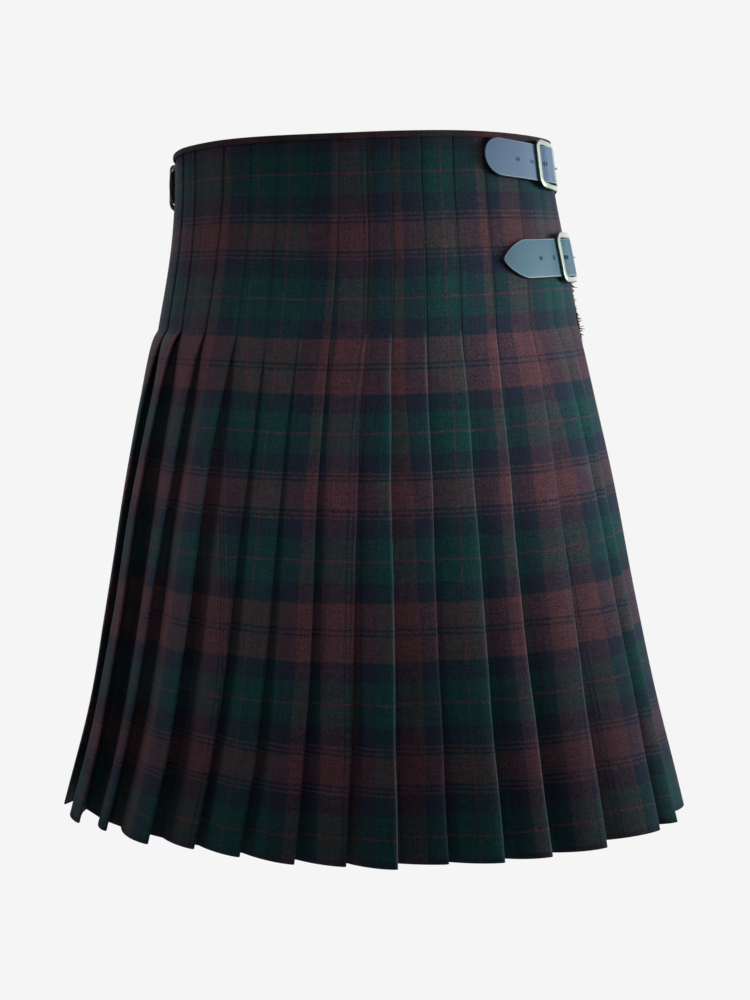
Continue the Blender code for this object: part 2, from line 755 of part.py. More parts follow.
def main():
    for item in list(bpy.data.objects):
        bpy.data.objects.remove(item)
    build_wall("pleated_back", pleat_stations, TARTAN)
    outer_apron = build_wall("outer_apron", outer_apron_stations, TARTAN)
    build_wall("inner_apron", inner_apron_stations, TARTAN)
    build_wall("apron_fringe", fringe_stations, FRINGE_CLOTH)
    build_waistband()
    for strap in STRAPS:
        seat = StrapSeat(strap)
        build_strap(seat)
        build_buckle(seat)
        build_tab(seat)
        if strap["side"] < 0:
            cut_slit(outer_apron, seat)


main()
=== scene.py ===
import bpy
import bmesh
import math
import random
import numpy as np
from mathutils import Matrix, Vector


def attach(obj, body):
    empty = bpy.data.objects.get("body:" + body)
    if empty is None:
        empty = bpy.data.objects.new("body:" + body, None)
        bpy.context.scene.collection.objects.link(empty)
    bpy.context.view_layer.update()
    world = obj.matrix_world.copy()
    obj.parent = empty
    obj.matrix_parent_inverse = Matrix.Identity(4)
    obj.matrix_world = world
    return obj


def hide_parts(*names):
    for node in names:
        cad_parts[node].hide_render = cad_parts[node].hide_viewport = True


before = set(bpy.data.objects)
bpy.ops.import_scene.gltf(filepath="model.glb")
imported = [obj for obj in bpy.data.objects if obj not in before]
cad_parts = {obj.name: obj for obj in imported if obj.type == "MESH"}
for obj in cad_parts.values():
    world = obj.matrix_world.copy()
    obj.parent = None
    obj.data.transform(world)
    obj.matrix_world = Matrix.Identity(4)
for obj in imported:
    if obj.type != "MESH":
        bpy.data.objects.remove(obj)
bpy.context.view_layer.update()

MM = 0.001

# ---- the garment's sizes, in mm and degrees
CLOTH_LENGTH = 610
FELL = 178                  # how far down from the waist the pleats are stitched
WALL = 0.9                  # the cloth's thickness
LAYER_GAP = 0.4
SEAM_GAP = 0.3
TURN_DOWN = 1.3             # from the waist to the cloth's edge inside the binding
PITCH = 1.4                 # from one layer of cloth to the next
FLAT_LIFT = 3               # how far a stitched fold edge stands off
TUCK_SHARE = 0.60           # the hidden return's share of the face that shows
HEM_RISE = 6

SECTION_COLUMNS = (
    "along", "half_width", "back", "front", "set_back", "side_rise", "shift", "lean",
    "left_rise", "right_rise",
)
SECTION_ROWS = (
    (0, 168, 112, 112, 0, 0, 0, 0.044, 3.4, -1.5),
    (50, 171, 120, 116, 1, 4, -2.5, 0.041, 5, 0),
    (105, 178, 132, 120, 3, 9, -5.5, 0.036, 6, 0.5),
    (178, 190, 144, 128, 6, 12, -6.5, 0.029, 5, 1.5),
    (250, 201, 147, 138, 12, 13, -7, 0.022, 4.7, 1.7),
    (337, 213, 149, 150, 19, 14, -8, 0.014, 2.5, 2.2),
    (431, 225, 150, 163, 26, 15, -10, 0.007, 2.2, 4),
    (526, 240, 150, 176, 33, 15, -11.5, 0.002, 4, 7.5),
    (610, 258, 149, 188, 40, 13, -11.5, 0, 7.5, 7.5),
)

# Each knife pleat: the angle of its fold edge at the waist, the fell and the hem, how far the
# edge strays between them, how far it stands off at the hem and how soon it springs open.
PLEAT_COLUMNS = ("waist", "fell", "hem", "mid", "hem_lift", "spring")
PLEAT_ROWS = (
    (-88, -88, -102, 0, 16, 0.3),
    (-69.5, -68.2, -86, 0, 18, 0.3),
    (-60.5, -58.5, -65.5, 0, 24, 0.3),
    (-45, -47.2, -56.5, 0, 18, 0.4),
    (-34.5, -36, -43.2, 0, 24, 0.6),
    (-25.5, -27.2, -34.2, 1, 13, 0.8),
    (-16.2, -18.2, -24.5, 0.3, 13, 0.8),
    (-7, -9.8, -14.2, -0.3, 16, 0.8),
    (1.8, -0.5, -5, -0.9, 13, 0.8),
    (8, 5.5, 3.8, -0.5, 19, 0.8),
    (16.8, 14.2, 13, -0.2, 9, 0.8),
    (26.8, 23.5, 23, 0.3, 15, 0.8),
    (38, 33.8, 32.5, -0.2, 15, 0.8),
    (53, 46, 44, 0.9, 24, 0.8),
    (66, 57, 59.2, 3, 26, 0.8),
    (75.5, 65.5, 67, 1.5, 26, 0.8),
    (84.5, 74.5, 86, 0, 18, 0.8),
)
PLEATS = [dict(zip(PLEAT_COLUMNS, row)) for row in PLEAT_ROWS]
# The tartan's place on each pleat's fold edge, at five lengths below the waist.
EDGE_SETT_LENGTHS = (0, 178, 290, 430, 610)
EDGE_SETT_ROWS = (
    (-12, -12, -12, -13, -14),
    (-82, -78, -100, -106, -110),
    (-22, -20, -19, -17, -14),
    (-101, -101, -88, -87.5, -86),
    (43.5, 44, 45, 46, 45),
    (-42, -42, -70, -92, -96),
    (-43, -44, -42, -40, -40),
    (-20, -18, -15.5, -12.5, -14),
    (3.5, 1, 2.5, 3.5, 0),
    (39.5, 42, 49, 53.5, 58),
    (41, 42, 40, 37, 40),
    (-48, -47, -44.5, -42, -39.5),
    (-15.5, -15.5, -14, -12.5, -11.5),
    (0, -3, -3, -1, 2.5),
    (54, 50, 45, 42.5, 37),
    (70, 64, 54.5, 53.5, 52),
    (-16, -20, -20, -21, -17),
)
PLEAT_SPREAD = 0.75
MID_POWER = 0.6
# How far round the cloth swells out to the left and right, then fades and ends.
LEFT_SWELL = (0, 50)
RIGHT_SWELL = (25, 65)
SWELL_FADE = (66, 90)
SWELL_END = (90, 130)

LEFT_SEAM = {"waist": -98, "fell": -98, "hem": -112}
RIGHT_SEAM = {"waist": 95, "fell": 93, "hem": 104}
OUTER_EDGE = {"waist": 91.5, "fell": 90, "hem": 100}
INNER_EDGE = {"waist": 261, "fell": 261, "hem": 247}
STACK_EDGES = (95.5, 106)

# The tartan down the cloth: the length below the waist and the sett's place, at its turning points.
SETT_UNIT = 0.978
PIVOT_ROWS = (
    (-24, -224), (41.3, -160), (91.4, -112), (202.2, 0),
    (308.8, 112), (421.5, 224), (533.8, 336), (645.5, 448),
)

# ---- smooth form
def mix(first, second, share):
    return first + (second - first) * share


def smooth_step(value, start, end):
    share = min(1, max(0, (value - start) / (end - start)))
    return share * share * (3 - 2 * share)


def curve_through(rows, column):
    """A smooth curve through one column of a table, against its first column."""
    xs = [float(row[0]) for row in rows]
    ys = [float(row[column]) for row in rows]
    last = len(xs) - 1
    slopes = []
    for index in range(len(xs)):
        low, high = max(index - 1, 0), min(index + 1, last)
        slopes.append((ys[high] - ys[low]) / (xs[high] - xs[low]))

    def value(x):
        x = min(max(x, xs[0]), xs[-1])
        low = 0
        while low < last - 1 and x > xs[low + 1]:
            low += 1
        span = xs[low + 1] - xs[low]
        t = (x - xs[low]) / span
        rise = ys[low + 1] - ys[low]
        first, second = span * slopes[low], span * slopes[low + 1]
        bend = 3 * rise - 2 * first - second
        return ys[low] + t * (first + t * (bend + t * (first + second - 2 * rise)))

    return value


FORM = {name: curve_through(SECTION_ROWS, index) for index, name in enumerate(SECTION_COLUMNS)}
FORM_CACHE = {}


def section_at(along):
    key = round(along, 3)
    if key not in FORM_CACHE:
        FORM_CACHE[key] = {name: FORM[name](along) for name in SECTION_COLUMNS[1:]}
    return FORM_CACHE[key]


def below_fell(along):
    return max(0, (along - FELL) / (CLOTH_LENGTH - FELL))


def angle_at(angles, along):
    if along <= FELL:
        return mix(angles["waist"], angles["fell"], along / FELL)
    degrees = mix(angles["fell"], angles["hem"], below_fell(along) ** PLEAT_SPREAD)
    return degrees + angles.get("mid", 0) * math.sin(math.pi * below_fell(along) ** MID_POWER)


def swell(form, degrees):
    turned = (degrees + 180) % 360 - 180
    if turned < 0:
        rise = form["left_rise"] * smooth_step(-turned, *LEFT_SWELL)
    else:
        rise = form["right_rise"] * smooth_step(turned, *RIGHT_SWELL)
    fade = 1 - 0.5 * smooth_step(abs(turned), *SWELL_FADE)
    return rise * fade * (1 - smooth_step(abs(turned), *SWELL_END))


def form_point(degrees, along, out):
    form = section_at(along)
    sine = math.sin(math.radians(degrees))
    cosine = math.cos(math.radians(degrees))
    depth = form["back"] if cosine > 0 else form["front"]
    nx = -depth * sine
    ny = form["half_width"] * cosine
    size = math.hypot(nx, ny)
    side = -form["half_width"] * sine + out * nx / size
    back = depth * cosine + out * ny / size + form["set_back"]
    height = -along + HEM_RISE * (along / CLOTH_LENGTH) ** 2
    height += form["side_rise"] * (1 - abs(cosine)) + swell(form, degrees)
    height -= form["lean"] * side
    return (side + form["shift"], back, height)


def stack_out(degrees):
    turned = abs((degrees + 180) % 360 - 180)
    return mix(FLAT_LIFT + 0.5, PITCH + 0.5, smooth_step(turned, *STACK_EDGES))


def gap_angle(degrees, along, distance):
    near = form_point(degrees, along, 0)
    far = form_point(degrees + 0.5, along, 0)
    return 0.5 * distance / math.hypot(far[0] - near[0], far[1] - near[1])


def sett_along(along):
    for first, second in zip(PIVOT_ROWS, PIVOT_ROWS[1:]):
        if along <= second[0]:
            break
    return mix(first[1], second[1], (along - first[0]) / (second[0] - first[0]))


def wave(seed, along, length):
    """A smooth wobble between about -1 and 1 that differs with the seed."""
    total = 0
    for order, weight in ((1, 0.6), (2.3, 0.3), (4.1, 0.15)):
        phase = 2.399 * seed * order + 0.7 * order
        total += weight * math.sin(2 * math.pi * along * order / length + phase)
    return total


def on_circle(x, y, radius, degrees):
    turn = math.radians(degrees)
    return x + radius * math.cos(turn), y + radius * math.sin(turn)


def circle(x, y, radius, sides, start=0):
    return [on_circle(x, y, radius, 360 * (side + start) / sides) for side in range(sides)]


# ---- mesh helpers
MITRE_LIMIT = 0.55          # keeps the corners of a sharp fold's wall from reaching far out
UPRIGHT_LIMIT = 0.3         # a rod steeper than this takes its sides from the x axis


def new_object(name, points, faces, materials, flat_faces=(), uvs=None, slots=None):
    mesh = bpy.data.meshes.new(name)
    mesh.from_pydata([tuple(c * MM for c in point) for point in points], [], faces)
    for material in materials:
        mesh.materials.append(material)
    smooth = np.ones(len(faces), dtype=bool)
    smooth[list(flat_faces)] = False
    mesh.polygons.foreach_set("use_smooth", smooth)
    if slots is not None:
        mesh.polygons.foreach_set("material_index", slots)
    if uvs is not None:
        layer = mesh.uv_layers.new(name="weave")
        layer.data.foreach_set("uv", np.asarray(uvs, dtype=np.float32).ravel())
    mesh.update()
    item = bpy.data.objects.new(name, mesh)
    bpy.context.scene.collection.objects.link(item)
    return item


def new_solid(*shape):
    """A new object whose faces all look outward."""
    item = new_object(*shape)
    work = bmesh.new()
    work.from_mesh(item.data)
    bmesh.ops.recalc_face_normals(work, faces=work.faces)
    work.to_mesh(item.data)
    work.free()
    return item


def join(items):
    """Joins the meshes of several objects into the first, which gives them its materials."""
    work = bmesh.new()
    for item in items:
        work.from_mesh(item.data)
    work.to_mesh(items[0].data)
    work.free()
    for item in items[1:]:
        bpy.data.objects.remove(item)


def ring_faces(rows, ring, closed=False):
    """Quads between rings of points, and a cap at either end of rows that don't close on themselves."""
    faces = []
    for row in range(rows if closed else rows - 1):
        above, below = row * ring, (row + 1) % rows * ring
        for corner in range(ring):
            following = (corner + 1) % ring
            faces.append((above + corner, above + following, below + following, below + corner))
    if not closed:
        faces += [tuple(range(ring)), tuple(range((rows - 1) * ring, rows * ring))]
    return faces


def make_shell(name, rows, material):
    """A closed cloth shell. Each row is (along, stations); a station is (x, y, z, u before, u after)."""
    row_count = len(rows)
    column_count = len(rows[0][1])
    grid = np.array([[s[:3] for s in stations] for _, stations in rows])
    step = grid[:, 1:, :2] - grid[:, :-1, :2]
    length = np.maximum(np.linalg.norm(step, axis=2, keepdims=True), 1e-6)
    side = np.stack([step[..., 1], -step[..., 0]], axis=2) / length
    before = np.concatenate([side[:, :1], side], axis=1)
    after = np.concatenate([side, side[:, -1:]], axis=1)
    middle = before + after
    middle /= np.maximum(np.linalg.norm(middle, axis=2, keepdims=True), 1e-6)
    reach = WALL / 2 / np.maximum(MITRE_LIMIT, np.sum(middle * before, axis=2, keepdims=True))
    outer = grid.copy()
    inner = grid.copy()
    outer[..., :2] += middle * reach
    inner[..., :2] -= middle * reach
    points = np.concatenate([outer.reshape(-1, 3), inner.reshape(-1, 3)])
    base = row_count * column_count
    faces = []
    uvs = []
    flat = []
    heights = [sett_along(along) for along, _ in rows]

    def uv(row, column, after):
        return (rows[row][1][column][4 if after else 3], heights[row])

    def add(ring, marks, turned):
        faces.append(ring[::-1] if turned else ring)
        uvs.extend(marks[::-1] if turned else marks)

    def close(a, ahead, marks, turned):
        flat.append(len(faces))
        add((a, a + ahead, base + a + ahead, base + a), marks + marks[::-1], turned)

    for row in range(row_count - 1):
        for column in range(column_count - 1):
            a = row * column_count + column
            ring = (a, a + 1, a + 1 + column_count, a + column_count)
            marks = [uv(row, column, True), uv(row, column + 1, False)]
            marks += [uv(row + 1, column + 1, False), uv(row + 1, column, True)]
            add(ring, marks, False)
            add(tuple(base + corner for corner in ring), marks, True)
    for row in (0, row_count - 1):
        for column in range(column_count - 1):
            marks = [uv(row, column, True), uv(row, column + 1, False)]
            close(row * column_count + column, 1, marks, row == 0)
    for column in (0, column_count - 1):
        for row in range(row_count - 1):
            marks = [uv(row, column, column == 0), uv(row + 1, column, column == 0)]
            close(row * column_count + column, column_count, marks, column != 0)
    return new_object(name, points.tolist(), faces, [material], flat, uvs)


def row_lengths(count):
    return [mix(TURN_DOWN, CLOTH_LENGTH, index / (count - 1)) for index in range(count)]


def squared(value, power):
    return math.copysign(abs(value) ** power, value)


def rod(centres, radius, closed=False, sides=14, ups=None, wall=None):
    """Points and faces of a rod with one radius or a list, or of a flat bar whose wall runs along `ups`."""
    centres = [Vector(c) for c in centres]
    count = len(centres)
    points = []
    aside = None
    for index, centre in enumerate(centres):
        if closed:
            before, after = centres[index - 1], centres[(index + 1) % count]
        else:
            before, after = centres[max(index - 1, 0)], centres[min(index + 1, count - 1)]
        ahead = (after - before).normalized()
        size = radius[index] if isinstance(radius, list) else radius
        if ups is None:
            new = ahead.cross(Vector((0, 0, 1)))
            if new.length < UPRIGHT_LIMIT:
                new = ahead.cross(Vector((1, 0, 0)))
            if aside is not None and new.dot(aside) < 0:
                new = -new
            aside = new.normalized()
            across = ahead.cross(aside) * size
        else:
            aside = ahead.cross(Vector(ups[index])).normalized()
            across = aside.cross(ahead) * wall
        power = 1 if ups is None else BAR_SQUARENESS
        for side in range(sides):
            turn = 2 * math.pi * side / sides
            wide = size * squared(math.cos(turn), power)
            points.append(centre + wide * aside + squared(math.sin(turn), power) * across)
    return points, ring_faces(count, sides, closed)


def tube(name, centres, radius, material, **shape):
    points, faces = rod(centres, radius, **shape)
    return new_solid(name, points, faces, [material])


# ---- materials
NOISE_LOW = 0.3             # nearly all of a noise texture's values lie between these two
NOISE_HIGH = 0.7


def grey(value):
    return (value, value, value, 1)


class Nodes:
    """A node material that is built with few words."""

    def __init__(self, name):
        self.material = bpy.data.materials.new(name)
        self.material.use_nodes = True
        self.tree = self.material.node_tree
        self.shader = self.tree.nodes["Principled BSDF"]
        self.place = self.add("ShaderNodeTexCoord").outputs["Object"]

    def add(self, kind, *inputs, **values):
        """A new node. Its inputs follow in order or by name, and names in lower case are settings."""
        node = self.tree.nodes.new(kind)
        for key, value in values.items():
            if key[0].isupper():
                self.put(node.inputs[key], value)
            else:
                setattr(node, key, value)
        for socket, value in zip(node.inputs, inputs):
            self.put(socket, value)
        return node

    def put(self, socket, value):
        if isinstance(value, bpy.types.NodeSocket):
            self.tree.links.new(value, socket)
        else:
            socket.default_value = value

    def math(self, operation, *values):
        return self.add("ShaderNodeMath", *values, operation=operation).outputs[0]

    def colour(self, blend, factor, first, second):
        node = self.add("ShaderNodeMix", factor, data_type="RGBA", blend_type=blend)
        self.put(node.inputs[6], first)
        self.put(node.inputs[7], second)
        return node.outputs[2]

    def scaled(self, vector, scale):
        return self.add("ShaderNodeVectorMath", vector, scale, operation="MULTIPLY").outputs[0]

    def gamma(self, colour, power):
        return self.add("ShaderNodeGamma", colour, power).outputs[0]

    def ramp(self, factor, stops, interpolation="LINEAR"):
        node = self.add("ShaderNodeValToRGB", factor)
        ramp = node.color_ramp
        ramp.interpolation = interpolation
        while len(ramp.elements) < len(stops):
            ramp.elements.new(1)
        for element, (place, value) in zip(ramp.elements, stops):
            element.position = place
            element.color = value
        return node.outputs[0]

    def noise(self, vector, scale, detail=2, roughness=0.5):
        node = self.add(
            "ShaderNodeTexNoise", Vector=vector, Scale=scale, Detail=detail, Roughness=roughness)
        return node.outputs["Fac"]

    def map_range(self, *values):
        """The value, its low and its high, then the low and the high that they become."""
        return self.add("ShaderNodeMapRange", *values).outputs[0]

    def spread(self, noise, low, high):
        return self.map_range(noise, NOISE_LOW, NOISE_HIGH, low, high)

    def product(self, first, *factors):
        for factor in factors:
            first = self.math("MULTIPLY", first, factor)
        return first

    def shaded(self, colour, shade):
        tone = self.add("ShaderNodeCombineXYZ", shade, shade, shade)
        return self.colour("MULTIPLY", 1, colour, tone.outputs[0])

    def bump(self, height, strength, distance):
        return self.add("ShaderNodeBump", Strength=strength, Distance=distance, Height=height).outputs[0]

    def set(self, **values):
        for key, value in values.items():
            self.put(self.shader.inputs[key.replace("_", " ")], value)


RED = (0.0575, 0.0232, 0.0290, 1)
GREEN = (0.0042, 0.0282, 0.0278, 1)
NAVY = (0.0085, 0.0118, 0.0234, 1)

# Half the sett, from one turning point to the other: where each stripe starts and its colour.
SETT_ROWS = (
    (0, RED), (1, NAVY), (3, RED), (24, NAVY), (40, GREEN), (57, RED), (59, GREEN),
    (76, NAVY), (92, RED), (94, NAVY), (96, RED), (98, NAVY), (100, RED),
)
HALF_SETT = 112
TWILL_REPEAT = 2.4
THREAD = TWILL_REPEAT / 4
WEFT_SHARE = 0.59           # how much of the face the weft's colour takes
TWILL_CONTRAST = 0.41
RAGGED = 0.75               # how far the threads of a stripe stray over its edge
EYE = 3.2                   # threads of two colours blend as the eye sees them
# How the stripes stray along the warp and the weft: the noise on the cloth, then on the threads.
STRAY_ROWS = ((9, (1, 0.3, 1), 1.6), (12, (0.3, 1, 1), 1.7))
STREAK_WIDTH = 0.62
STREAK_LENGTH = 0.035
STREAK_DEPTH = 0.16


def tartan_material(name, gain=1):
    """A 2/2 twill tartan: the warp's and the weft's stripes are woven, not painted over each other."""
    n = Nodes(name)
    uv = n.add("ShaderNodeUVMap", uv_map="weave").outputs[0]
    split = n.add("ShaderNodeSeparateXYZ", uv)
    stops = [
        (start / HALF_SETT, tuple(c * gain for c in colour[:3]) + (1,)) for start, colour in SETT_ROWS
    ]
    ways = []
    stripes = []
    for axis, (waver, stretch, fray) in zip(split.outputs, STRAY_ROWS):
        stray = n.math("ADD", n.spread(n.noise(n.place, waver), -0.5, 0.5),
                       n.spread(n.noise(n.scaled(uv, stretch), fray), -RAGGED, RAGGED))
        way = n.math("ADD", axis, stray)
        turned = n.math("DIVIDE", n.math("PINGPONG", way, HALF_SETT), HALF_SETT)
        ways.append(way)
        stripes.append(n.gamma(n.ramp(turned, stops, "CONSTANT"), 1 / EYE))
    rib = n.math("PINGPONG", n.math("FRACT", n.math("DIVIDE", n.math("ADD", *ways), TWILL_REPEAT)), 0.5)
    on_top = n.map_range(rib, 0.20, 0.30, 0, 1)
    share = n.map_range(on_top, 0, 1, WEFT_SHARE - TWILL_CONTRAST, WEFT_SHARE + TWILL_CONTRAST)
    cloth = n.gamma(n.colour("MIX", share, *stripes), EYE)
    thread = n.add("ShaderNodeMix", on_top, data_type="FLOAT")
    for socket, way in zip((thread.inputs[2], thread.inputs[3]), ways):
        n.put(socket, n.math("PINGPONG", n.math("DIVIDE", way, THREAD), 0.5))
    thread = thread.outputs[0]
    fibre = n.noise(n.place, 620, 3, 0.75)
    cloud = n.noise(n.place, 14, 3)
    fleck = n.noise(uv, 0.55, 2, 0.7)
    streaks = [
        n.noise(n.scaled(uv, stretch), 1, 2, 0.6)
        for stretch in ((STREAK_WIDTH, STREAK_LENGTH, 1), (STREAK_LENGTH, STREAK_WIDTH, 1))
    ]
    shade = n.product(
        n.spread(fibre, 0.50, 1.50), n.spread(cloud, 0.92, 1.08), n.map_range(thread, 0, 0.5, 0.80, 1.16),
        *(n.spread(noise, 1 - STREAK_DEPTH, 1 + STREAK_DEPTH) for noise in (fleck, *streaks)),
    )
    height = n.math("ADD", n.math("MULTIPLY", thread, 1.2), rib)
    height = n.math("ADD", height, n.math("MULTIPLY", fibre, 0.9))
    n.set(
        Base_Color=n.shaded(cloth, shade),
        Roughness=0.92,
        Normal=n.bump(height, 0.55, 0.0005),
        Specular_IOR_Level=0.12,
        Sheen_Weight=0.03,
        Sheen_Roughness=0.45,
        Sheen_Tint=(0.62, 0.86, 1, 1),
    )
    return n.material


def leather_material(name, first, second):
    n = Nodes(name)
    grain = n.add("ShaderNodeTexVoronoi", feature="DISTANCE_TO_EDGE", Vector=n.place, Scale=1400)
    grain = grain.outputs["Distance"]
    pores = n.noise(n.place, 2600, 3, 0.6)
    cloud = n.noise(n.place, 30, 3)
    scratch = n.noise(n.scaled(n.place, (900, 900, 60)), 1, 2, 0.6)
    base = n.colour("MIX", n.spread(cloud, 0, 1), first, second)
    base = n.colour("MULTIPLY", 0.25, base, n.ramp(scratch, [(0.35, grey(0.7)), (0.65, grey(1))]))
    base = n.colour("MULTIPLY", 0.35, base, n.ramp(grain, [(0, grey(0.5)), (0.12, grey(1))]))
    height = n.math("ADD", n.math("MINIMUM", grain, 0.15), n.math("MULTIPLY", pores, 0.15))
    n.set(
        Base_Color=base,
        Roughness=n.spread(cloud, 0.48, 0.60),
        Normal=n.bump(height, 0.30, 0.0002),
        Specular_IOR_Level=0.20,
        Coat_Weight=0.04,
        Coat_Roughness=0.35,
    )
    return n.material


def edge_material():
    n = Nodes("strap_leather_edge")
    fibre = n.noise(n.place, 1200, 3, 0.7)
    base = n.ramp(fibre, [(NOISE_LOW, (0.010, 0.010, 0.014, 1)), (NOISE_HIGH, (0.030, 0.028, 0.034, 1))])
    n.set(Base_Color=base, Roughness=0.6, Normal=n.bump(fibre, 0.5, 0.0003), Specular_IOR_Level=0.4)
    return n.material


def steel_material():
    n = Nodes("buckle_nickel")
    worn = n.noise(n.place, 420, 4, 0.65)
    cloud = n.noise(n.place, 60, 2)
    n.set(
        Base_Color=n.colour("MIX", cloud, (0.190, 0.200, 0.160, 1), (0.150, 0.175, 0.160, 1)),
        Metallic=1,
        Roughness=n.map_range(worn, 0.3, 0.75, 0.40, 0.50),
        Normal=n.bump(worn, 0.08, 0.0002),
    )
    return n.material


def thread_material(name, first, second, scale):
    n = Nodes(name)
    patch = n.noise(n.place, scale, 2)
    twist = n.noise(n.place, 1500, 2)
    base = n.shaded(n.ramp(patch, [(0.42, first), (0.58, second)]), n.spread(twist, 0.6, 1.3))
    n.set(Base_Color=base, Roughness=0.9, Specular_IOR_Level=0.2, Normal=n.bump(twist, 0.5, 0.0003))
    return n.material


TARTAN = tartan_material("tartan_cloth_twill")
# a darker copy of the tartan: painted shade for the stitched fold edges
PAINTED_FOLD_SHADE = tartan_material("tartan_painted_fold_shade", 0.34)
BAND = tartan_material("waistband_cloth_twill", 0.66)
# The straps are black leather: these slate and teal colours are a painted reflection (sheen) on it, one
# copy for the upper straps and tabs and one for the lower strap.
PAINTED_SLATE_SHEEN_LEATHER = leather_material(
    "strap_leather_slate", (0.050, 0.088, 0.146, 1), (0.062, 0.102, 0.164, 1))
PAINTED_TEAL_SHEEN_LEATHER = leather_material(
    "strap_leather_teal", (0.017, 0.058, 0.085, 1), (0.023, 0.070, 0.100, 1))
# a painted highlight: the pale line where light catches a strap's bevelled edge, also used inside the holes
LEATHER_RIM_HIGHLIGHT = leather_material(
    "strap_leather_rim", (0.120, 0.145, 0.190, 1), (0.160, 0.185, 0.230, 1))
LEATHER_EDGE = edge_material()
STEEL = steel_material()
FRINGE = thread_material("fringe_wool", (0.004, 0.012, 0.014, 1), (0.020, 0.009, 0.012, 1), 45)
STITCH = thread_material(
    "strap_stitch_thread", (0.020, 0.020, 0.026, 1), (0.030, 0.030, 0.036, 1), 200)


# ---- cloth pieces
FACE_SHARES = (0.055, 0.13, 0.24, 0.36, 0.48, 0.60, 0.72, 0.83, 0.92, 0.975, 1)
FIRST_EDGE = len(FACE_SHARES) - 2  # the first fold edge's station
EDGE_STEP = len(FACE_SHARES) + 8  # from each fold edge's station to the next
FIRST_PAINTED_FOLD_SHADE = 8           # the first pleat whose stitched fold edge gets a painted shade line
BACK_ROWS = 96
OUTER_GRID = (90, 150)      # an apron's rows down and spans across
INNER_GRID = (60, 100)
OUTER_SETT = 60             # the tartan's place at an apron's first edge
INNER_SETT = 20
# The outer apron's creases: the centre and half width in degrees, the depth and the seed.
CREASE_ROWS = (
    (124, 9, 2.6, 1), (141, 7, 1.7, 2), (166, 12, 2.4, 3),
    (196, 9, 1.9, 4), (221, 11, 2.8, 5), (238, 6, 1.6, 6),
)
EDGE_SETTS = [curve_through(list(zip(EDGE_SETT_LENGTHS, row)), 1) for row in EDGE_SETT_ROWS]


def pleat_lift(number, pleat, along):
    lift = mix(FLAT_LIFT, pleat["hem_lift"], below_fell(along) ** pleat["spring"])
    loose = smooth_step(along, FELL, FELL + 120)
    return lift + loose * 1.1 * wave(number * 1.7 + 3, along, 520)


def pleat_edge(number, pleat, along):
    loose = smooth_step(along, FELL - 20, FELL + 100)
    return angle_at(pleat, along) + (0.05 + 0.22 * loose) * wave(number * 2.9 + 1, along, 430)


def face_rise(share, lift, along):
    """Height of a pleat's face between the last fold edge (share 0) and its own (share 1)."""
    flat = lift * min(share / 0.055 * 0.58, 0.58 + 0.42 * (1 - (1 - share) ** 3))
    loose = lift * (1 - (1 - share) ** 1.65)
    return mix(flat, loose, smooth_step(along, FELL - 10, FELL + 60))


def carry_sett(stations, start, stop, sett):
    """Runs the tartan from one station's place, forward or back, along the cloth to another station."""
    step = 1 if stop > start else -1
    distance = 0
    for index in range(start + step, stop + step, step):
        distance += math.dist(stations[index - step][:2], stations[index][:2]) / SETT_UNIT
        stations[index][3:5] = [sett + step * distance] * 2


def pleat_row(along):
    """The folded back at one length: stations with the tartan's place before and after."""
    stations = []

    def put(degrees, out):
        stations.append([*form_point(degrees, along, out), 0, 0])

    previous = angle_at(LEFT_SEAM, along)
    start_index = 0
    put(previous, PITCH)
    for number, pleat in enumerate(PLEATS):
        edge = pleat_edge(number, pleat, along)
        lift = pleat_lift(number, pleat, along)
        fold = edge - TUCK_SHARE * (edge - previous)
        if number > 0:
            put(previous, 0)
        for share in FACE_SHARES[0 if number > 0 else 2:]:
            rise = face_rise(share, lift, along) if number > 0 else mix(PITCH, lift, share)
            put(mix(previous, edge, share), rise - 0.15 * (share == 1))
        edge_index = len(stations) - 1
        roll = gap_angle(edge, along, 0.75)
        put(edge + roll, lift - PITCH / 2)
        put(edge, lift - PITCH)
        for share in (0.35, 0.7):
            put(mix(edge, fold, share), mix(lift - PITCH, PITCH, share ** 0.9))
        put(fold, PITCH)
        fold_index = len(stations) - 1
        put(fold - roll, PITCH / 2)
        put(fold, 0)
        # the tartan runs on either side of the fold edge, and starts anew inside the next fold
        at_edge = EDGE_SETTS[number](along)
        at_start = stations[start_index][3]
        stations[edge_index][3:5] = [at_edge, at_edge]
        carry_sett(stations, edge_index, start_index, at_edge)
        if start_index > 0:
            stations[start_index][3] = at_start
        carry_sett(stations, edge_index, fold_index + 1, at_edge)
        start_index = fold_index + 1
        previous = edge
    put(previous, 0)
    put(angle_at(RIGHT_SEAM, along), 0)
    carry_sett(stations, start_index, len(stations) - 1, stations[start_index][3])
    return along, stations


def apron_row(along, first, last, count, out_at, sett):
    """A flat apron at one length. The tartan is measured from the first edge."""
    stations = []
    for index in range(count + 1):
        degrees = mix(first, last, index / count)
        stations.append([*form_point(degrees, along, out_at(degrees, along)), sett, sett])
    carry_sett(stations, 0, count, sett)
    return along, stations


def outer_out(degrees, along):
    """Soft creases of the outer apron: they hang from the straps and die out at the edges."""
    sag = 0
    loose = smooth_step(along, 120, 420)
    for centre, width, depth, seed in CREASE_ROWS:
        drift = centre + 4 * wave(seed, along, 900)
        fullness = 0.7 + 0.3 * wave(seed + 9, along, 500)
        sag += depth * math.exp(-(((degrees - drift) / width) ** 2)) * fullness
    return PITCH + loose * max(0, sag)


def paint_fold_shade(cloth, rows):
    """Right of the centre, where the side light catches the stitched fold edges, a darker copy of the
    tartan paints shade along them as a dark line.
    """
    cloth.data.materials.append(PAINTED_FOLD_SHADE)
    columns = len(rows[0][1]) - 1
    for row, (along, _) in enumerate(rows):
        if along > FELL - 4:
            break
        for number in range(FIRST_PAINTED_FOLD_SHADE, len(PLEATS)):
            edge = FIRST_EDGE + number * EDGE_STEP
            for column in (edge - 1, edge):
                cloth.data.polygons[2 * (row * columns + column)].material_index = 1


